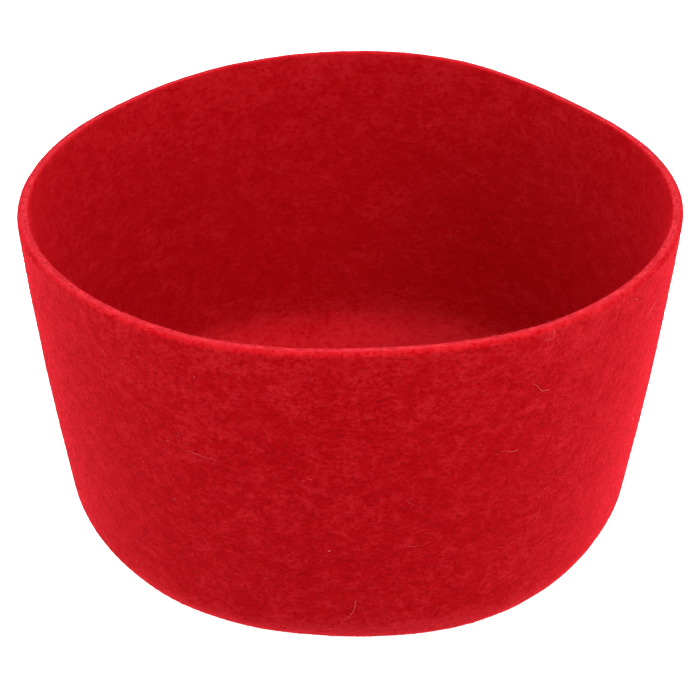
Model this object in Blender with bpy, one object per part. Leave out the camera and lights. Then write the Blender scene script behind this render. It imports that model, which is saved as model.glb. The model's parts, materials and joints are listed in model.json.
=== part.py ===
# A hat of pressed wool felt in one piece: a flat crown that turns up, through a rounded edge, into a
# wall that widens to the open end. It rests upside down on its crown, with the open end up.
#
# Everything is in metres. The origin is the centre of the crown's outer face, +Z points up and out of
# the open end, and the front is at -Y. Angles are counted round the Z axis from +X.

from collections import namedtuple
from math import acos, atan2, cos, hypot, pi, radians, sin

import bmesh
import bpy

# Driving dimensions. All but the felt's own thickness are of the outer surface.
CROWN_RADIUS = 0.0875    # where the crown's rounded edge reaches its widest
RIM_RADIUS = 0.0947      # the open end's outer edge
HEIGHT = 0.1059          # from the crown's face to the rim's outer edge
EDGE_RADIUS = 0.0149     # rounding between the crown and the wall
WALL_BULGE = 0.0008      # how far the wall stands out, half way up, from a straight cone
FELT_THICKNESS = 0.003
RIM_ROUNDING = 0.0008    # worn corners of the cut rim

# How finely the surface is divided
SEGMENTS = 96            # round the hat
EDGE_STEPS = 6           # along the crown's rounded edge
WALL_STEPS = 4           # from there to the rim
RIM_ROUNDING_STEPS = 2   # across each corner of the rim
RIM_CORNER_ANGLE = radians(60)   # only the rim's corners are sharper than this

# The felt is pressed by hand, so neither end is a true circle. Each row is one wave: how many times it
# repeats round the hat, and the size of its cosine and its sine in plan (radius) and in height.
Wave = namedtuple("Wave", "repeats plan_cos plan_sin height_cos height_sin")

RIM_WAVES = (
    Wave(1, -0.00015, -0.0001, 0.0, 0.0),
    Wave(2, 0.0004, -0.00005, -0.0004, 0.0),
    Wave(3, 0.0002, -0.00155, -0.0002, 0.0),
    Wave(4, 0.0004, 0.00005, 0.00035, 0.0),
    Wave(5, 0.00015, 0.0, 0.0002, 0.0),
    Wave(6, 0.0003, 0.0001, 0.0, 0.0),
    Wave(8, -0.0002, -0.00005, 0.0, 0.0),
)

CROWN_WAVES = (
    Wave(1, 0.00015, -0.0001, 0.0, 0.0),
    Wave(2, 0.00025, 0.00035, 0.0, 0.0),
    Wave(3, -0.00045, 0.00005, 0.0, 0.0),
    Wave(4, -0.0006, 0.00015, 0.0, 0.0),
    Wave(5, 0.0, -0.00015, 0.0, 0.0),
    Wave(6, 0.00045, -0.00005, 0.0, 0.0),
)

# Felt finish
FELT_COLOUR = (0.52, 0.008, 0.014, 1.0)
FELT_ROUGHNESS = 0.95
FELT_SHEEN = 0.5
FELT_SHEEN_ROUGHNESS = 0.4


def plan_offset(waves, angle):
    """How far the waves push the outline out at this angle."""
    return sum(
        wave.plan_cos * cos(wave.repeats * angle) + wave.plan_sin * sin(wave.repeats * angle)
        for wave in waves
    )


def height_offset(waves, angle):
    """How far the waves lift the outline at this angle."""
    return sum(
        wave.height_cos * cos(wave.repeats * angle) + wave.height_sin * sin(wave.repeats * angle)
        for wave in waves
    )


def outer_profile(angle):
    """Points (radius, height) down one side of the outer surface, from the flat crown to the rim."""
    crown_radius = CROWN_RADIUS + plan_offset(CROWN_WAVES, angle)
    rim_radius = RIM_RADIUS + plan_offset(RIM_WAVES, angle)
    rim_height = HEIGHT + height_offset(RIM_WAVES, angle)

    # The wall is tangent to the rounded edge, whose centre lies one edge radius in and up.
    centre_radius = crown_radius - EDGE_RADIUS
    run = rim_radius - centre_radius
    rise = rim_height - EDGE_RADIUS
    wall_lean = acos(EDGE_RADIUS / hypot(run, rise)) - atan2(rise, run)

    points = []
    for step in range(EDGE_STEPS + 1):
        turn = -pi / 2 + (pi / 2 - wall_lean) * step / EDGE_STEPS
        points.append((centre_radius + EDGE_RADIUS * cos(turn), EDGE_RADIUS + EDGE_RADIUS * sin(turn)))

    wall_foot_radius, wall_foot_height = points[-1]
    for step in range(1, WALL_STEPS + 1):
        share = step / WALL_STEPS
        bulge = WALL_BULGE * 4 * share * (1 - share)
        radius = wall_foot_radius + (rim_radius - wall_foot_radius) * share + bulge * cos(wall_lean)
        height = wall_foot_height + (rim_height - wall_foot_height) * share - bulge * sin(wall_lean)
        points.append((radius, height))
    return points


def place_ring(verts, step):
    """Moves a ring of vertices, each at its own angle, to one step of the outer profile."""
    for vert in verts:
        angle = atan2(vert.co.y, vert.co.x)
        radius, height = outer_profile(angle)[step]
        vert.co = (radius * cos(angle), radius * sin(angle), height)


def outer_shell_mesh():
    """The outer surface: the crown's flat disc, then one extruded ring for each step of the profile."""
    shell = bmesh.new()
    disc = bmesh.ops.create_circle(shell, cap_ends=True, segments=SEGMENTS, radius=CROWN_RADIUS)
    place_ring(disc["verts"], 0)

    ring_edges = list(shell.edges)
    for step in range(1, EDGE_STEPS + WALL_STEPS + 1):
        extruded = bmesh.ops.extrude_edge_only(shell, edges=ring_edges)["geom"]
        ring_verts = [item for item in extruded if isinstance(item, bmesh.types.BMVert)]
        place_ring(ring_verts, step)
        ring_edges = [edge for edge in shell.edges if all(vert in ring_verts for vert in edge.verts)]

    bmesh.ops.recalc_face_normals(shell, faces=shell.faces)
    mesh = bpy.data.meshes.new("felt_cap")
    shell.to_mesh(mesh)
    shell.free()
    mesh.shade_smooth()
    return mesh


def felt_material():
    """Matt wool felt, with the pale sheen that its nap has at a grazing angle."""
    material = bpy.data.materials.new("red_felt")
    material.use_nodes = True
    shader = material.node_tree.nodes["Principled BSDF"]
    shader.inputs["Base Color"].default_value = FELT_COLOUR
    shader.inputs["Metallic"].default_value = 0.0
    shader.inputs["Roughness"].default_value = FELT_ROUGHNESS
    shader.inputs["Sheen Weight"].default_value = FELT_SHEEN
    shader.inputs["Sheen Roughness"].default_value = FELT_SHEEN_ROUGHNESS
    material.diffuse_color = FELT_COLOUR
    return material


def thicken_felt(cap):
    """Gives the shell the felt's thickness, inwards, with the rim cut square to the wall."""
    wall = cap.modifiers.new("felt_thickness", "SOLIDIFY")
    wall.thickness = FELT_THICKNESS
    wall.offset = -1.0
    wall.use_even_offset = True
    wall.use_rim = True


def soften_rim(cap):
    """Rounds the two corners of the cut rim."""
    rounding = cap.modifiers.new("rim_rounding", "BEVEL")
    rounding.width = RIM_ROUNDING
    rounding.segments = RIM_ROUNDING_STEPS
    rounding.limit_method = "ANGLE"
    rounding.angle_limit = RIM_CORNER_ANGLE


def make_felt_cap():
    """The whole hat, which is one piece of felt."""
    cap = bpy.data.objects.new("felt_cap", outer_shell_mesh())
    bpy.context.scene.collection.objects.link(cap)
    cap.data.materials.append(felt_material())
    thicken_felt(cap)
    soften_rim(cap)
    return cap


def build():
    for old_object in list(bpy.data.objects):
        bpy.data.objects.remove(old_object)
    make_felt_cap()


build()
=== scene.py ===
# A fez of red felt, lying upside down on its crown: the looks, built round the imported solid.
# Metres, +Z up, the front at -Y. The hat is made first, then its nap, and then the studio.

import json
import math
import random

import bmesh
import bpy
from mathutils import Matrix, Vector, noise

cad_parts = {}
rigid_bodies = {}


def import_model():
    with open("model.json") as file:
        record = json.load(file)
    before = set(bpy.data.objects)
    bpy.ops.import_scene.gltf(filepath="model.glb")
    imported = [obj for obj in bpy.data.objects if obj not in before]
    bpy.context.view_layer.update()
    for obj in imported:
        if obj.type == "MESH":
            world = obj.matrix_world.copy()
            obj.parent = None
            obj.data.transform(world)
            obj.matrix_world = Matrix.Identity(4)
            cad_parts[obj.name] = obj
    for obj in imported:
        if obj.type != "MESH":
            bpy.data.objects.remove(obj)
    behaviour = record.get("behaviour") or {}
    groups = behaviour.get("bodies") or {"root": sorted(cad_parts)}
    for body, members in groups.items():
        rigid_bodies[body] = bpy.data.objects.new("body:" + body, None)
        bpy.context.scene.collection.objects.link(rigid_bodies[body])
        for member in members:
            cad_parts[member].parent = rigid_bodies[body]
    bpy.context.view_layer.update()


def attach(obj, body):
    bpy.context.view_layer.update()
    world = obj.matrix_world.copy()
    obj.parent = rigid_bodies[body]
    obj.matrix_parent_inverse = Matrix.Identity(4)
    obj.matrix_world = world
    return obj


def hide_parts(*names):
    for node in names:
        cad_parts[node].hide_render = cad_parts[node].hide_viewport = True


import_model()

mm = 0.001

# The hat itself. Its sizes, the waves below and the camera were fitted together to the outline and rim
# lines in the photo, outside this script, then rounded. The scale is that of a hat for a usual head.

hat = dict(
    crownRadius=87.5 * mm,      # where the rounded edge of the crown is widest
    rimRadius=94.7 * mm,        # outer edge of the open end
    height=105.9 * mm,          # from the crown's face to the outer edge of the rim
    edgeRadius=14.9 * mm,       # rounding between crown and wall
    wallBulge=0.8 * mm,         # how far the wall stands out, half way up
    thickness=3.0 * mm,         # of the felt
    outerRounding=1.6 * mm,     # worn corners of the cut edge
    innerRounding=0.6 * mm,
    roundingSteps=4,
    startRadius=10 * mm,        # of the disc that the crown grows from, until its ring is placed
    outerFade=4.0,              # the paler cut ends sooner on the outer corner than on the inner one
    innerFade=0.5,
    segments=384,               # round the hat
    crownRings=22,              # from the middle of the crown to its rounded edge
    edgeRings=16,               # along the rounded edge
    wallRings=62,               # from there to the rim
)

# Neither end of the hat is a true circle. One row is one wave round it, from the fit: repeats, then
# cosine and sine in plan, then cosine and sine in height.
rimWaves = [
    (1, -0.15 * mm, -0.1 * mm, 0.0, 0.0),
    (2, 0.4 * mm, -0.05 * mm, -0.4 * mm, 0.0),
    (3, 0.2 * mm, -1.55 * mm, -0.2 * mm, 0.0),
    (4, 0.4 * mm, 0.05 * mm, 0.35 * mm, 0.0),
    (5, 0.15 * mm, 0.0, 0.2 * mm, 0.0),
    (6, 0.3 * mm, 0.1 * mm, 0.0, 0.0),
    (8, -0.2 * mm, -0.05 * mm, 0.0, 0.0),
]
crownWaves = [
    (1, 0.15 * mm, -0.1 * mm, 0.0, 0.0),
    (2, 0.25 * mm, 0.35 * mm, 0.0, 0.0),
    (3, -0.45 * mm, 0.05 * mm, 0.0, 0.0),
    (4, -0.6 * mm, 0.15 * mm, 0.0, 0.0),
    (5, 0.0, -0.15 * mm, 0.0, 0.0),
    (6, 0.45 * mm, -0.05 * mm, 0.0, 0.0),
]

# Small unevenness of the felt: size of the lumps, how far they stand out, and a shift that keeps the
# rows unlike each other.
lumps = [
    (46 * mm, 0.22 * mm, 3.1),
    (15 * mm, 0.11 * mm, 7.7),
    (6 * mm, 0.06 * mm, 12.9),
]
rimUneven = dict(size=3.4 * mm, depth=0.16 * mm, wornFrom=0.3)  # the scissors' line round the rim
# the cut shows wider at the sides of the open end, so the felt is thickened there: angle, how much, and
# how far down it goes
sideThickening = [(180, 0.5 * mm, 40 * mm), (0, 0.45 * mm, 40 * mm)]

# How pale the felt is made, from 0 to 1. It is 1 on the cut edge. On each face a strong and a faint share
# fade down the wall from the rim, and a third fades up from the crown: on the outside from the foot, where
# the hat touches a table. Apart from the cut edge these shares are mostly painted light: the walls paler
# near the rim, where more light reaches them, the inside of the crown paler where the light from above
# falls on it, and the outside foot paler where light comes up from the table; near the rim they are partly
# wear as well.
wearAndLightShares = dict(
    outside=dict(strong=0.07, strongFade=6 * mm, faint=0.10, faintFade=35 * mm,
                 crown=0.34, crownFrom=3 * mm, crownTo=19 * mm),
    inside=dict(strong=0.04, strongFade=3 * mm, faint=0.10, faintFade=30 * mm,
                crown=0.21, crownFrom=3 * mm, crownTo=26 * mm),
    patches=28 * mm, uneven=0.6,    # size and strength of its uneven patches
)
crownLift = 0.12 * mm           # the crown's nap is pressed under the felt, which lies this far up


def waveOffset(waves, angle, cosAt, sinAt):
    return sum(
        row[cosAt] * math.cos(row[0] * angle) + row[sinAt] * math.sin(row[0] * angle)
        for row in waves
    )


def sectionPoints(angle):
    # half section of the hat's outer face at one angle, from the crown to the rim: (radius, height)
    crownRadius = hat["crownRadius"] + waveOffset(crownWaves, angle, 1, 2)
    rimRadius = hat["rimRadius"] + waveOffset(rimWaves, angle, 1, 2)
    rimHeight = hat["height"] + waveOffset(rimWaves, angle, 3, 4)
    edge = hat["edgeRadius"]
    edgeCentre = crownRadius - edge
    run = rimRadius - edgeCentre
    rise = rimHeight - edge
    lean = math.acos(edge / math.hypot(run, rise)) - math.atan2(rise, run)

    points = []
    for ring in range(1, hat["crownRings"] + 1):
        share = ring / hat["crownRings"]
        points.append((edgeCentre * math.sqrt(share), 0.0))  # rings lie closer towards the edge
    for ring in range(1, hat["edgeRings"] + 1):
        turn = -math.pi / 2 + (math.pi / 2 - lean) * ring / hat["edgeRings"]
        points.append((edgeCentre + edge * math.cos(turn), edge + edge * math.sin(turn)))
    footRadius, footHeight = points[-1]
    for ring in range(1, hat["wallRings"] + 1):
        share = ring / hat["wallRings"]
        bulge = hat["wallBulge"] * 4 * share * (1 - share)
        points.append((
            footRadius + (rimRadius - footRadius) * share + bulge * math.cos(lean),
            footHeight + (rimHeight - footHeight) * share - bulge * math.sin(lean),
        ))
    return points


def settleOrder(body):
    # extrude and bevel number what they make differently in each run, and the scattered fibres follow
    # the numbers, so vertices are put in order by their place, and edges and faces by their vertices
    def corners(part):
        return sorted(vert.index for vert in part.verts)

    def position(vert):
        return tuple(vert.co)

    for parts, place in ((body.verts, position), (body.edges, corners), (body.faces, corners)):
        number = {part: count for count, part in enumerate(sorted(parts, key=place))}
        parts.sort(key=lambda part: number[part])
        parts.index_update()


def pressShell():
    # a fan in the middle of the crown, then one extruded ring after another out and up to the rim
    shell = bmesh.new()
    disc = bmesh.ops.create_circle(
        shell, cap_ends=True, cap_tris=True, segments=hat["segments"], radius=hat["startRadius"])
    ring = [vert for vert in disc["verts"] if vert.is_boundary]
    # one section for each vertex of the ring, found again by its angle, rounded to four places
    angles = [math.atan2(vert.co.y, vert.co.x) for vert in ring]
    sections = {round(angle, 4): sectionPoints(angle) for angle in angles}

    def placeRing(verts, step):
        for vert in verts:
            angle = math.atan2(vert.co.y, vert.co.x)
            radius, height = sections[round(angle, 4)][step]
            vert.co = (radius * math.cos(angle), radius * math.sin(angle), height)

    placeRing(ring, 0)
    edges = [edge for edge in shell.edges if edge.is_boundary]
    for step in range(1, hat["crownRings"] + hat["edgeRings"] + hat["wallRings"]):
        grown = bmesh.ops.extrude_edge_only(shell, edges=edges)["geom"]
        ring = [item for item in grown if isinstance(item, bmesh.types.BMVert)]
        edges = [item for item in grown if isinstance(item, bmesh.types.BMEdge) and item.is_boundary]
        placeRing(ring, step)
    bmesh.ops.recalc_face_normals(shell, faces=shell.faces)
    settleOrder(shell)
    mesh = bpy.data.meshes.new("felt_hat")
    shell.to_mesh(mesh)
    shell.free()
    return mesh


def applyModifiers(piece):
    # keeps what the modifiers make as the piece's own mesh
    graph = bpy.context.evaluated_depsgraph_get()
    mesh = bpy.data.meshes.new_from_object(piece.evaluated_get(graph))
    piece.modifiers.clear()
    piece.data = mesh


def addObject(name, mesh):
    piece = bpy.data.objects.new(name, mesh)
    bpy.context.scene.collection.objects.link(piece)
    return piece


def roundRim(body, side, width, wear):
    # rounds the corner between the cut edge (material 2) and the outside (0) or the inside (1)
    corner = [edge for edge in body.edges
              if {face.material_index for face in edge.link_faces} == {side, 2}]
    rounded = bmesh.ops.bevel(
        body, geom=corner, offset=width, offset_type="OFFSET", segments=hat["roundingSteps"],
        profile=0.5, affect="EDGES", material=-1, clamp_overlap=True)
    for face in rounded["faces"]:
        face.material_index = side
    # the wear falls from 1 on the cut itself towards 0 where the rounding ends
    strip = set(rounded["verts"])
    level = {vert for vert in strip if any(face.material_index == 2 for face in vert.link_faces)}
    for step in range(hat["roundingSteps"] + 1):
        for vert in level:
            share = 1.0 - step / (hat["roundingSteps"] + 1)
            vert[wear] = share ** (hat["innerFade"] if side else hat["outerFade"])
        level = {vert for vert in nextTo(level) if vert in strip and vert[wear] == 0.0}


def nextTo(verts):
    return {edge.other_vert(vert) for vert in verts for edge in vert.link_edges}


def smoothShare(value, low, high):
    share = min(max((value - low) / (high - low), 0.0), 1.0)
    return share * share * (3 - 2 * share)


def paintWearAndLight(body, wear):
    # the shares that fade away down the wall from the rim, and those on the crown: painted light, partly
    # wear near the rim
    for vert in body.verts:
        down = hat["height"] - vert.co.z
        isInside = any(face.material_index == 1 for face in vert.link_faces)
        side = wearAndLightShares["inside" if isInside else "outside"]
        share = side["strong"] * math.exp(-down / side["strongFade"])
        share += side["faint"] * math.exp(-down / side["faintFade"])
        share += side["crown"] * (1 - smoothShare(vert.co.z, side["crownFrom"], side["crownTo"]))
        share *= 1.0 + wearAndLightShares["uneven"] * noise.noise(vert.co / wearAndLightShares["patches"])
        vert[wear] = max(vert[wear], share)


def thickenSides(body):
    for vert in body.verts:
        if not any(face.material_index == 1 for face in vert.link_faces):
            continue
        around = math.atan2(vert.co.y, vert.co.x)
        for degrees, depth, reach in sideThickening:
            facing = max(0.0, math.cos(around - math.radians(degrees)))
            down = (hat["height"] - vert.co.z) / reach
            inwards = depth * facing ** 2 * math.exp(-down * down)
            vert.co.x -= inwards * math.cos(around)
            vert.co.y -= inwards * math.sin(around)


def makeHat(materials):
    print("hat: pressing the felt")
    piece = addObject("felt_hat", pressShell())
    for material in materials:
        piece.data.materials.append(material)

    felt = piece.modifiers.new("thickness", "SOLIDIFY")
    felt.thickness = hat["thickness"]
    felt.offset = -1.0
    felt.use_even_offset = True
    felt.material_offset = 1       # the inside
    felt.material_offset_rim = 2   # the cut edge
    applyModifiers(piece)

    body = bmesh.new()
    body.from_mesh(piece.data)
    # one share per vertex: the cut edge's wear, and painted light down the walls, on the inner crown and
    # at the outer foot
    wear = body.verts.layers.float.new("wear")
    thickenSides(body)
    roundRim(body, 0, hat["outerRounding"], wear)
    roundRim(body, 1, hat["innerRounding"], wear)
    settleOrder(body)
    paintWearAndLight(body, wear)
    body.normal_update()
    moves = []
    for vert in body.verts:
        stand = sum(
            depth * noise.noise(vert.co / size + Vector((shift, shift * 2, -shift)))
            for size, depth, shift in lumps
        )
        if vert[wear] > rimUneven["wornFrom"]:
            stand += rimUneven["depth"] * noise.noise(vert.co / rimUneven["size"]) * vert[wear]
        moves.append(vert.normal * stand)
    for vert, move in zip(body.verts, moves):
        vert.co += move
        if vert.co.z < crownLift:
            vert.co.z = crownLift
    body.to_mesh(piece.data)
    body.free()
    piece.data.shade_smooth()

    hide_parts("felt_cap")
    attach(piece, "root")
    print("hat:", len(piece.data.polygons), "faces")
    return piece


# Short ways to add nodes

def addNode(tree, kind, inputs=None, **settings):
    node = tree.nodes.new(kind)
    for name, value in settings.items():
        setattr(node, name, value)
    for key, value in (inputs or {}).items():
        if isinstance(value, bpy.types.NodeSocket):
            tree.links.new(value, node.inputs[key])
        else:
            node.inputs[key].default_value = value
    return node


def mathNode(tree, operation, first, second=0.0, clamp=False):
    node = addNode(tree, "ShaderNodeMath", {0: first, 1: second}, operation=operation, use_clamp=clamp)
    return node.outputs[0]


def vectorNode(tree, operation, first, second):
    node = addNode(tree, "ShaderNodeVectorMath", {0: first, 1: second}, operation=operation)
    return node.outputs[0]


def noiseNode(tree, vector, scale, detail, roughness=0.5):
    return addNode(tree, "ShaderNodeTexNoise", {
        "Vector": vector, "Scale": scale, "Detail": detail, "Roughness": roughness})


def rangeNode(tree, value, fromLow, fromHigh, toLow, toHigh, kind="SMOOTHSTEP"):
    return addNode(tree, "ShaderNodeMapRange", {
        "Value": value, "From Min": fromLow, "From Max": fromHigh, "To Min": toLow, "To Max": toHigh,
    }, interpolation_type=kind).outputs["Result"]


def mixColour(tree, share, first, second):
    # sockets 6 and 7 take the two colours and 2 gives the mixed one, because names repeat on this node
    node = addNode(tree, "ShaderNodeMix", {0: share, 6: first, 7: second}, data_type="RGBA")
    return node.outputs[2]


def newGroup(name, inputs, outputs):
    group = bpy.data.node_groups.new(name, "ShaderNodeTree")
    for label, kind, value in inputs:
        socket = group.interface.new_socket(name=label, in_out="INPUT", socket_type=kind)
        socket.default_value = value
    for label, kind in outputs:
        group.interface.new_socket(name=label, in_out="OUTPUT", socket_type=kind)
    return group, group.nodes.new("NodeGroupInput").outputs, group.nodes.new("NodeGroupOutput").inputs


# Node groups that the felts share

# Single fibres that lie in the felt. Scales are against the fibre's own size.
fibrePattern = dict(
    bendScale=0.6, bendDetail=1.0, bend=3.0,        # how broadly and how far they curl
    gateScale=0.8, gateFrom=0.48, gateTo=0.56,      # only where this coarser noise is high are there any
)
# The felt's pattern. Scales are in repeats per millimetre, shares say how much each part counts.
feltPattern = dict(
    cloudScale=0.06, cloudDetail=2.0, cloudShare=0.6,
    mottleScale=0.28, mottleDetail=3.0, mottleShare=2.1,
    grainScale=1.1, grainDetail=3.0, grainShare=1.9,
    noiseRoughness=0.65,                            # of the mottle and the grain
    pitScale=0.85, pitDetail=1.0, pitFrom=0.54, pitTo=0.68, pitShare=0.6,
    longFibres=dict(size=1.9, width=0.035, shift=0.0),
    shortFibres=dict(size=1.3, width=0.04, shift=31.7),
    wearAndLightLimit=0.25, wearAndLightEvens=1.2, wearAndLightPales=2.0,   # a little of the wear and painted light share evens the pattern and pales it
    raggedScale=0.9, raggedDetail=2.0, ragged=1.0,  # unevenness of the line where the cut begins
    cutFrom=0.5, cutTo=0.85,                        # share of wear and painted light at which the cut wool starts and is full
    roughFrom=0.3, roughTo=0.7, roughest=1.0, smoothest=0.86,
    grainHeight=0.7, mottleHeight=0.8, pitHeight=0.12, fibreHeight=0.2,
)


def makeFibreGroup():
    # thin curling lines, where a warped noise passes its middle value
    look = fibrePattern
    group, given, out = newGroup("looseFibres", [
        ("Vector", "NodeSocketVector", (0, 0, 0)),
        ("Size", "NodeSocketFloat", 1.8),
        ("Width", "NodeSocketFloat", 0.03),
        ("Shift", "NodeSocketFloat", 0.0),
    ], [("Fibres", "NodeSocketFloat")])
    shift = given["Shift"]
    shift = addNode(group, "ShaderNodeCombineXYZ", {0: shift, 1: shift, 2: shift}).outputs[0]
    shifted = vectorNode(group, "ADD", given["Vector"], shift)
    scale = mathNode(group, "DIVIDE", 1.0, given["Size"])
    bendScale = mathNode(group, "MULTIPLY", scale, look["bendScale"])
    bend = noiseNode(group, shifted, bendScale, look["bendDetail"]).outputs["Color"]
    push = vectorNode(group, "SUBTRACT", bend, (0.5, 0.5, 0.5))
    push = vectorNode(group, "MULTIPLY", push, (look["bend"], look["bend"], look["bend"]))
    warped = vectorNode(group, "ADD", shifted, push)
    field = noiseNode(group, warped, scale, 0.0).outputs[0]
    away = mathNode(group, "ABSOLUTE", mathNode(group, "SUBTRACT", field, 0.5))
    line = rangeNode(group, away, 0.0, given["Width"], 1.0, 0.0)
    gateScale = mathNode(group, "MULTIPLY", scale, look["gateScale"])
    gate = noiseNode(group, shifted, gateScale, 0.0).outputs[0]
    gate = rangeNode(group, gate, look["gateFrom"], look["gateTo"], 0.0, 1.0)
    group.links.new(mathNode(group, "MULTIPLY", line, gate), out["Fibres"])
    return group


def makeFeltGroup(fibreGroup):
    # the felt's whole pattern: clouds from uneven dye, mottle and grain of the matted wool, dark pits
    # between its tufts, and fibres; a small share of wear and painted light evens and pales it, and near
    # the cut it turns, along a ragged line, to the paler cut wool
    look = feltPattern
    group, given, out = newGroup("redFelt", [
        ("Vector", "NodeSocketVector", (0, 0, 0)),
        ("Stretch", "NodeSocketVector", (1, 1, 1)),
        ("Deep", "NodeSocketColor", (0.2, 0.001, 0.001, 1)),
        ("Middle", "NodeSocketColor", (0.3, 0.001, 0.003, 1)),
        ("Light", "NodeSocketColor", (0.4, 0.005, 0.009, 1)),
        ("Cut", "NodeSocketColor", (0.33, 0.009, 0.015, 1)),
        ("WearAndLight", "NodeSocketFloat", 0.0),
        ("Contrast", "NodeSocketFloat", 1.0),
        ("Fibres", "NodeSocketFloat", 0.5),
    ], [("Colour", "NodeSocketColor"), ("Roughness", "NodeSocketFloat"), ("Height", "NodeSocketFloat")])
    millimetres = vectorNode(group, "MULTIPLY", given["Vector"], (1000, 1000, 1000))
    streaked = vectorNode(group, "MULTIPLY", millimetres, given["Stretch"])

    def pattern(vector, part, roughness=0.5):
        return noiseNode(group, vector, look[part + "Scale"], look[part + "Detail"], roughness).outputs[0]

    clouds = pattern(millimetres, "cloud")
    mottle = pattern(streaked, "mottle", look["noiseRoughness"])
    grain = pattern(streaked, "grain", look["noiseRoughness"])
    pits = rangeNode(group, pattern(streaked, "pit"), look["pitFrom"], look["pitTo"], 0.0, 1.0)

    def fibres(kind):
        return addNode(group, "ShaderNodeGroup", {
            "Vector": streaked, "Size": kind["size"], "Width": kind["width"], "Shift": kind["shift"],
        }, node_tree=fibreGroup).outputs[0]

    strands = mathNode(group, "MAXIMUM", fibres(look["longFibres"]), fibres(look["shortFibres"]))

    def centred(value, amount):
        return mathNode(group, "MULTIPLY", mathNode(group, "SUBTRACT", value, 0.5), amount)

    def scaled(value, amount):
        return mathNode(group, "MULTIPLY", value, amount)

    tone = centred(clouds, look["cloudShare"])
    tone = mathNode(group, "ADD", tone, centred(mottle, look["mottleShare"]))
    tone = mathNode(group, "ADD", tone, centred(grain, look["grainShare"]))
    tone = mathNode(group, "SUBTRACT", tone, scaled(pits, look["pitShare"]))
    littleWearAndLight = mathNode(group, "MINIMUM", given["WearAndLight"], look["wearAndLightLimit"])
    evened = mathNode(group, "SUBTRACT", 1.0, scaled(littleWearAndLight, look["wearAndLightEvens"]))
    tone = mathNode(group, "MULTIPLY", tone, mathNode(group, "MULTIPLY", given["Contrast"], evened))
    # painted light: away from the cut this share makes the felt lighter where more light falls, near the
    # rim, on the inner crown and at the foot
    paled = scaled(littleWearAndLight, look["wearAndLightPales"])
    tone = mathNode(group, "ADD", tone, paled)
    below = mathNode(group, "MULTIPLY", tone, -1.0, clamp=True)
    above = mathNode(group, "MULTIPLY", tone, 1.0, clamp=True)
    above = mathNode(group, "MAXIMUM", above, mathNode(group, "MULTIPLY", strands, given["Fibres"]))
    colour = mixColour(group, below, given["Middle"], given["Deep"])
    colour = mixColour(group, above, colour, given["Light"])
    ragged = centred(pattern(millimetres, "ragged"), look["ragged"])
    ragged = mathNode(group, "ADD", given["WearAndLight"], ragged)
    worn = rangeNode(group, ragged, look["cutFrom"], look["cutTo"], 0.0, 1.0)
    group.links.new(mixColour(group, worn, colour, given["Cut"]), out["Colour"])
    roughness = rangeNode(
        group, grain, look["roughFrom"], look["roughTo"], look["roughest"], look["smoothest"])
    group.links.new(roughness, out["Roughness"])
    height = scaled(grain, look["grainHeight"])
    height = mathNode(group, "ADD", height, scaled(mottle, look["mottleHeight"]))
    height = mathNode(group, "SUBTRACT", height, scaled(pits, look["pitHeight"]))
    height = mathNode(group, "ADD", height, scaled(strands, look["fibreHeight"]))
    group.links.new(height, out["Height"])
    return group


# Materials

cutColour = (0.395, 0.0140, 0.0215, 1)
feltSpecular = 0.01     # wool has next to no gloss of its own, only its sheen
outsideFelt = dict(
    name="felt_outside", stretch=(0.8, 0.8, 1.06), contrast=0.86, fibres=0.10, relief=0.28 * mm,
    deep=(0.194, 0.0002, 0.0007, 1), middle=(0.271, 0.0012, 0.0030, 1),
    light=(0.402, 0.0120, 0.0182, 1),
    sheen=1.0, sheenRoughness=0.34, sheenTint=(1.0, 0.034, 0.056, 1),
)
insideFelt = dict(
    name="felt_inside", stretch=(0.6, 0.6, 0.85), contrast=0.56, fibres=0.05, relief=0.1 * mm,
    deep=(0.205, 0.0002, 0.0010, 1), middle=(0.285, 0.0015, 0.0036, 1),
    light=(0.42, 0.0120, 0.0175, 1),
    sheen=0.38, sheenRoughness=0.38, sheenTint=(1.0, 0.018, 0.034, 1),
)
cutFelt = dict(
    name="felt_cut_edge", stretch=(1, 1, 1), contrast=1.9, fibres=0.3, relief=0.4 * mm,
    deep=(0.30, 0.007, 0.013, 1), middle=cutColour, light=(0.49, 0.030, 0.040, 1),
    sheen=0.8, sheenRoughness=0.42, sheenTint=(1.0, 0.05, 0.072, 1),
)


def newMaterial(name):
    material = bpy.data.materials.new(name)
    material.use_nodes = True
    return material, material.node_tree, material.node_tree.nodes["Principled BSDF"]


def makeFelt(look, feltGroup):
    material, tree, shader = newMaterial(look["name"])
    place = addNode(tree, "ShaderNodeTexCoord")
    felt = addNode(tree, "ShaderNodeGroup", {
        "Vector": place.outputs["Object"], "Stretch": look["stretch"], "Contrast": look["contrast"],
        "Fibres": look["fibres"], "Deep": look["deep"], "Middle": look["middle"], "Light": look["light"],
        "Cut": cutColour,
    }, node_tree=feltGroup)
    if look is not cutFelt:
        # the share of wear and painted light from the hat's mesh
        worn = addNode(tree, "ShaderNodeAttribute", attribute_name="wear")
        tree.links.new(worn.outputs["Fac"], felt.inputs["WearAndLight"])
    relief = addNode(tree, "ShaderNodeBump", {
        "Strength": 1.0, "Distance": look["relief"], "Height": felt.outputs["Height"]})
    tree.links.new(felt.outputs["Colour"], shader.inputs["Base Color"])
    tree.links.new(felt.outputs["Roughness"], shader.inputs["Roughness"])
    tree.links.new(relief.outputs["Normal"], shader.inputs["Normal"])
    shader.inputs["Specular IOR Level"].default_value = feltSpecular
    shader.inputs["Sheen Weight"].default_value = look["sheen"]
    shader.inputs["Sheen Roughness"].default_value = look["sheenRoughness"]
    shader.inputs["Sheen Tint"].default_value = look["sheenTint"]
    material.diffuse_color = look["middle"]
    return material


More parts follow.
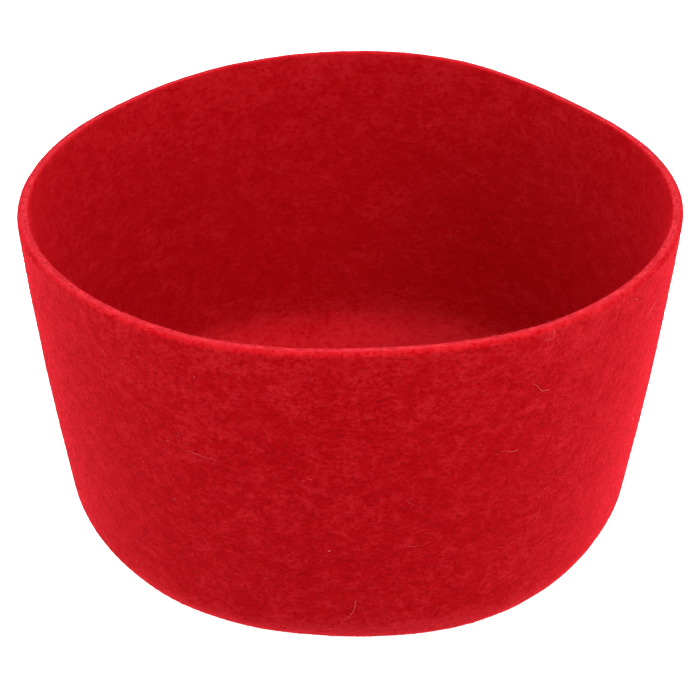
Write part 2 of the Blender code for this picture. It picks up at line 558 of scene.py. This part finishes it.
napLook = dict(deep=(0.22, 0.0006, 0.0015, 1), light=(0.33, 0.004, 0.007, 1), patch=1.4, sheen=0.2)
frayLook = dict(deep=(0.40, 0.015, 0.022, 1), light=(0.55, 0.08, 0.09, 1), patch=1.8, sheen=0.4)
rimNapLook = dict(deep=(0.31, 0.006, 0.011, 1), light=(0.42, 0.017, 0.024, 1), patch=1.2, sheen=0.5)
strayLook = dict(deep=(0.50, 0.03, 0.04, 1), light=(0.75, 0.25, 0.25, 1), patch=9.0, sheen=0.3)
fibreShading = dict(            # what all loose fibres share; patch above is in millimetres
    detail=2.0, noiseRoughness=0.7, toneFrom=0.35, toneTo=0.65,
    roughFrom=0.3, roughTo=0.7, roughest=0.95, smoothest=0.75,
    specular=0.05, sheenRoughness=0.55, sheenTint=(1.0, 0.06, 0.09, 1),
)


def makeFibreMaterial(name, look):
    # each fibre has its own tone, because the pattern is coarser than a fibre is wide
    shared = fibreShading
    material, tree, shader = newMaterial(name)
    place = addNode(tree, "ShaderNodeTexCoord").outputs["Object"]
    tone = noiseNode(tree, place, 1000 / look["patch"], shared["detail"], shared["noiseRoughness"])
    tone = tone.outputs[0]
    share = rangeNode(tree, tone, shared["toneFrom"], shared["toneTo"], 0.0, 1.0)
    roughness = rangeNode(
        tree, tone, shared["roughFrom"], shared["roughTo"], shared["roughest"], shared["smoothest"])
    tree.links.new(mixColour(tree, share, look["deep"], look["light"]), shader.inputs["Base Color"])
    tree.links.new(roughness, shader.inputs["Roughness"])
    shader.inputs["Specular IOR Level"].default_value = shared["specular"]
    shader.inputs["Sheen Weight"].default_value = look["sheen"]
    shader.inputs["Sheen Roughness"].default_value = shared["sheenRoughness"]
    shader.inputs["Sheen Tint"].default_value = shared["sheenTint"]
    material.diffuse_color = look["light"]
    return material


# Nap, and the loose fibres on it. The zone is the felt's material: 0 outside, 1 inside, -1 any. They grow
# above the height low, or for None below the wall's nap, and, where a threshold on the wear share is
# given, only above it, on the worn cut.

wallNap = dict(name="wall_nap", zone=0, low=1.0 * mm, perSquareMetre=260e3, seed=11, shapes=8, steps=3,
               length=1.6 * mm, thickness=0.05 * mm, lift=0.09 * mm, curl=1.1)
crownNap = dict(name="crown_nap", zone=0, low=None, perSquareMetre=260e3, seed=12, shapes=8, steps=3,
                length=1.6 * mm, thickness=0.05 * mm, lift=0.07 * mm, curl=1.1)
insideNap = dict(name="inside_nap", zone=1, low=-1.0, perSquareMetre=150e3, seed=13, shapes=8, steps=3,
                 length=1.5 * mm, thickness=0.045 * mm, lift=0.05 * mm, curl=1.1)
rimNap = dict(name="rim_nap", zone=-1, low=-1.0, worn=0.5, perSquareMetre=6e6, seed=14, shapes=8, steps=3,
              length=1.0 * mm, thickness=0.045 * mm, lift=0.11 * mm, curl=1.2)
rimFray = dict(name="rim_fray", zone=1, low=-1.0, worn=0.5, perSquareMetre=5e6, seed=17, shapes=8, steps=3,
               length=1.3 * mm, thickness=0.05 * mm, lift=0.32 * mm, curl=1.4)
strays = dict(name="stray_hairs", zone=0, low=1.0 * mm, perSquareMetre=500, seed=15, shapes=8, steps=10,
              length=8.0 * mm, thickness=0.045 * mm, lift=0.5 * mm, curl=0.9)
lint = dict(name="lint", zone=0, low=1.0 * mm, perSquareMetre=1800, seed=16, shapes=8, steps=3,
            length=0.9 * mm, thickness=0.11 * mm, lift=0.12 * mm, curl=1.6)
strandShape = dict(sides=3, heading=0.3, bias=0.7, bend=0.45, lowRise=0.7, highRise=1.3)
scattering = dict(
    tilt=0.06, smallest=(0.55, 0.55, 0.5), largest=(1.35, 1.35, 1.4),
    lowest=0.02 * mm,       # no fibre hangs below this, because the floor presses it flat
)


def makeStrand(name, look, seed):
    # a three-sided spindle, extruded run by run with a turn at each, that leaves the felt and comes
    # back to it
    shape = strandShape
    draw = random.Random(seed)
    strand = bmesh.new()
    run = look["length"] / look["steps"]
    circle = bmesh.ops.create_circle(strand, segments=shape["sides"], radius=look["thickness"] / 2)
    ring = circle["verts"]
    bmesh.ops.rotate(strand, verts=ring, matrix=Matrix.Rotation(math.pi / 2, 3, "Y"))
    firstRing = ring
    edges = list(strand.edges)
    heading = draw.uniform(-shape["heading"], shape["heading"])
    bias = draw.uniform(-shape["bias"], shape["bias"]) * look["curl"]
    centre = Vector((0, 0, 0))
    for step in range(look["steps"]):
        grown = bmesh.ops.extrude_edge_only(strand, edges=edges)["geom"]
        ring = [item for item in grown if isinstance(item, bmesh.types.BMVert)]
        edges = [item for item in grown if isinstance(item, bmesh.types.BMEdge)
                 and all(vert in ring for vert in item.verts)]
        turn = bias + draw.uniform(-shape["bend"], shape["bend"]) * look["curl"]
        heading += turn
        share = (step + 1) / look["steps"]
        rise = look["lift"] * math.sin(math.pi * share)
        rise *= draw.uniform(shape["lowRise"], shape["highRise"])
        move = Vector((math.cos(heading) * run, math.sin(heading) * run, rise - centre.z))
        bmesh.ops.rotate(strand, verts=ring, cent=centre, matrix=Matrix.Rotation(turn, 3, "Z"))
        bmesh.ops.translate(strand, verts=ring, vec=move)
        centre += move
    bmesh.ops.pointmerge(strand, verts=firstRing, merge_co=Vector((0, 0, 0)))
    bmesh.ops.pointmerge(strand, verts=ring, merge_co=centre)
    bmesh.ops.recalc_face_normals(strand, faces=strand.faces)
    bmesh.ops.translate(strand, verts=strand.verts, vec=-centre / 2)
    settleOrder(strand)
    mesh = bpy.data.meshes.new(name)
    strand.to_mesh(mesh)
    strand.free()
    mesh.shade_smooth()
    return bpy.data.objects.new(name, mesh)


def napTree(look, strandSet):
    # scatters the strands over one zone of the felt, turned every way, and makes them one mesh
    tree = bpy.data.node_groups.new(look["name"], "GeometryNodeTree")
    tree.interface.new_socket(name="Geometry", in_out="INPUT", socket_type="NodeSocketGeometry")
    tree.interface.new_socket(name="Geometry", in_out="OUTPUT", socket_type="NodeSocketGeometry")
    surface = tree.nodes.new("NodeGroupInput").outputs[0]
    out = tree.nodes.new("NodeGroupOutput").inputs[0]

    place = tree.nodes.new("GeometryNodeInputPosition").outputs[0]
    height = addNode(tree, "ShaderNodeSeparateXYZ", {0: place}).outputs["Z"]
    if look["low"] is None:
        chosen = mathNode(tree, "LESS_THAN", height, wallNap["low"])
    else:
        chosen = mathNode(tree, "GREATER_THAN", height, look["low"])
    if "worn" in look:
        wear = addNode(tree, "GeometryNodeInputNamedAttribute", {"Name": "wear"}, data_type="FLOAT")
        chosen = mathNode(tree, "GREATER_THAN", wear.outputs[0], look["worn"])
    if look["zone"] >= 0:
        index = tree.nodes.new("GeometryNodeInputMaterialIndex").outputs[0]
        inZone = mathNode(tree, "COMPARE", index, float(look["zone"]))
        inZone.node.inputs[2].default_value = 0.5   # how near the number has to be
        chosen = mathNode(tree, "MULTIPLY", chosen, inZone)
    points = addNode(tree, "GeometryNodeDistributePointsOnFaces", {
        "Mesh": surface, "Selection": chosen, "Density": look["perSquareMetre"], "Seed": look["seed"]})

    def spread(low, high, seed):
        node = addNode(tree, "FunctionNodeRandomValue", {0: low, 1: high, "Seed": seed},
                       data_type="FLOAT_VECTOR")
        return node.outputs[0]

    tilt = scattering["tilt"]
    turned = addNode(tree, "FunctionNodeRotateRotation", {
        0: points.outputs["Rotation"],
        1: addNode(tree, "FunctionNodeEulerToRotation", {
            0: spread((-tilt, -tilt, -math.pi), (tilt, tilt, math.pi), look["seed"] + 1)}).outputs[0],
    }, rotation_space="LOCAL")
    kinds = addNode(tree, "GeometryNodeCollectionInfo", {
        "Collection": strandSet, "Separate Children": True, "Reset Children": True})
    strewn = addNode(tree, "GeometryNodeInstanceOnPoints", {
        "Points": points.outputs["Points"], "Instance": kinds.outputs[0], "Pick Instance": True,
        "Rotation": turned.outputs[0],
        "Scale": spread(scattering["smallest"], scattering["largest"], look["seed"] + 2),
    })
    joined = addNode(tree, "GeometryNodeRealizeInstances", {0: strewn.outputs[0]})
    tree.links.new(joined.outputs[0], out)
    return tree


def makeNap(look, felt, material):
    strandSet = bpy.data.collections.new(look["name"] + "_strands")
    for number in range(look["shapes"]):
        strandSet.objects.link(makeStrand(f"{look['name']}_{number}", look, look["seed"] * 100 + number))
    piece = addObject(look["name"], felt.data.copy())
    scatter = piece.modifiers.new("scatter", "NODES")
    scatter.node_group = napTree(look, strandSet)
    applyModifiers(piece)
    piece.data.materials.clear()
    piece.data.materials.append(material)
    for strand in list(strandSet.objects):
        bpy.data.objects.remove(strand)
    bpy.data.collections.remove(strandSet)

    for vert in piece.data.vertices:
        vert.co.z = max(vert.co.z, scattering["lowest"])
    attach(piece, "root")
    triangles = sum(len(face.vertices) - 2 for face in piece.data.polygons)
    print(look["name"] + ":", triangles, "triangles")
    return piece


# Studio

floorLook = dict(
    radius=4.0, segments=96, roughness=0.9, specular=0.1,
    seen=(0.95, 0.95, 0.95, 1),     # as the camera sees it
    thrown=(0.35, 0.35, 0.35, 1),   # what it throws back up at the hat
    glowSeen=0.9, glowThrown=0.76,  # the table is lit from below, so hardly any shadow shows on it
)
surroundings = dict(lit=0.56, seen=1.0)  # how bright the room is as a light, and behind the hat
# The watts, the room's lit and the floor's glowThrown were fitted to how bright the felt is in the photo,
# outside this script, then rounded.
softLights = [
    # name, azimuth seen from the hat (0 is the front, 90 the right), elevation, distance, size, watts
    ("key", 64, 57, 1.3, 0.45, 6.2),
    ("front", 0, 55, 1.25, 0.7, 3.7),
    ("close_front", 0, 60, 0.45, 0.25, 0.73),
    ("front_right", 40, 30, 1.2, 0.6, 3.35),
    ("front_left", -40, 30, 1.2, 0.6, 1.5),
    ("high_right", 90, 60, 1.3, 0.4, 4.7),
    ("low_right", 90, 8, 1.2, 0.8, 5.3),
    ("low_left", -88, 16, 1.2, 0.8, 7.9),
    ("back_left", -125, 25, 1.2, 0.8, 0.8),
    ("top_left", -70, 74, 1.1, 0.4, 3.2),
]
photoView = dict(
    distance=560 * mm, elevation=32.75, aimHeight=48.22 * mm,
    lens=93.24, sensor=36.0, near=10 * mm, far=20.0,
)


def makeFloor():
    disc = bmesh.new()
    bmesh.ops.create_circle(
        disc, cap_ends=True, segments=floorLook["segments"], radius=floorLook["radius"])
    mesh = bpy.data.meshes.new("floor")
    disc.to_mesh(mesh)
    disc.free()
    floor = addObject("floor", mesh)
    material, tree, shader = newMaterial("pale_floor")
    seen = addNode(tree, "ShaderNodeLightPath").outputs["Is Camera Ray"]
    tree.links.new(mixColour(tree, seen, floorLook["thrown"], floorLook["seen"]),
                   shader.inputs["Base Color"])
    shader.inputs["Roughness"].default_value = floorLook["roughness"]
    shader.inputs["Specular IOR Level"].default_value = floorLook["specular"]
    shader.inputs["Emission Color"].default_value = (1, 1, 1, 1)
    glow = rangeNode(tree, seen, 0.0, 1.0, floorLook["glowThrown"], floorLook["glowSeen"], "LINEAR")
    tree.links.new(glow, shader.inputs["Emission Strength"])
    mesh.materials.append(material)


def makeLights():
    world = bpy.data.worlds.new("studio")
    world.use_nodes = True
    room = world.node_tree
    seen = addNode(room, "ShaderNodeLightPath").outputs["Is Camera Ray"]
    strength = rangeNode(room, seen, 0.0, 1.0, surroundings["lit"], surroundings["seen"], "LINEAR")
    room.links.new(strength, room.nodes["Background"].inputs["Strength"])
    room.nodes["Background"].inputs["Color"].default_value = (1, 1, 1, 1)
    bpy.context.scene.world = world
    aim = Vector((0, 0, photoView["aimHeight"]))
    for name, azimuth, elevation, distance, size, watts in softLights:
        lamp = bpy.data.lights.new(name, "AREA")
        lamp.shape = "DISK"
        lamp.size = size
        lamp.energy = watts
        light = addObject(name, lamp)
        around, up = math.radians(azimuth), math.radians(elevation)
        back = Vector((math.sin(around) * math.cos(up), -math.cos(around) * math.cos(up), math.sin(up)))
        light.location = aim + back * distance
        light.rotation_euler = (-back).to_track_quat("-Z", "Y").to_euler()


def makeCamera():
    lens = bpy.data.cameras.new("camera")
    lens.lens = photoView["lens"]
    lens.sensor_width = photoView["sensor"]
    lens.clip_start = photoView["near"]
    lens.clip_end = photoView["far"]
    camera = addObject("camera", lens)
    up = math.radians(photoView["elevation"])
    back = Vector((0, -math.cos(up), math.sin(up)))
    camera.location = Vector((0, 0, photoView["aimHeight"])) + back * photoView["distance"]
    camera.rotation_euler = (-back).to_track_quat("-Z", "Y").to_euler()
    bpy.context.scene.camera = camera


fibreGroup = makeFibreGroup()
feltGroup = makeFeltGroup(fibreGroup)
feltHat = makeHat([makeFelt(look, feltGroup) for look in (outsideFelt, insideFelt, cutFelt)])

print("nap: scattering the fibres")
napMaterial = makeFibreMaterial("nap_fibre", napLook)
strayMaterial = makeFibreMaterial("stray_fibre", strayLook)
for look in (wallNap, crownNap, insideNap):
    makeNap(look, feltHat, napMaterial)
makeNap(rimNap, feltHat, makeFibreMaterial("rim_fibre", rimNapLook))
makeNap(rimFray, feltHat, makeFibreMaterial("frayed_fibre", frayLook))
makeNap(strays, feltHat, strayMaterial)
makeNap(lint, feltHat, strayMaterial)

print("studio: floor, lights and camera")
makeFloor()
makeLights()
makeCamera()
bpy.context.scene.view_settings.view_transform = "Standard"
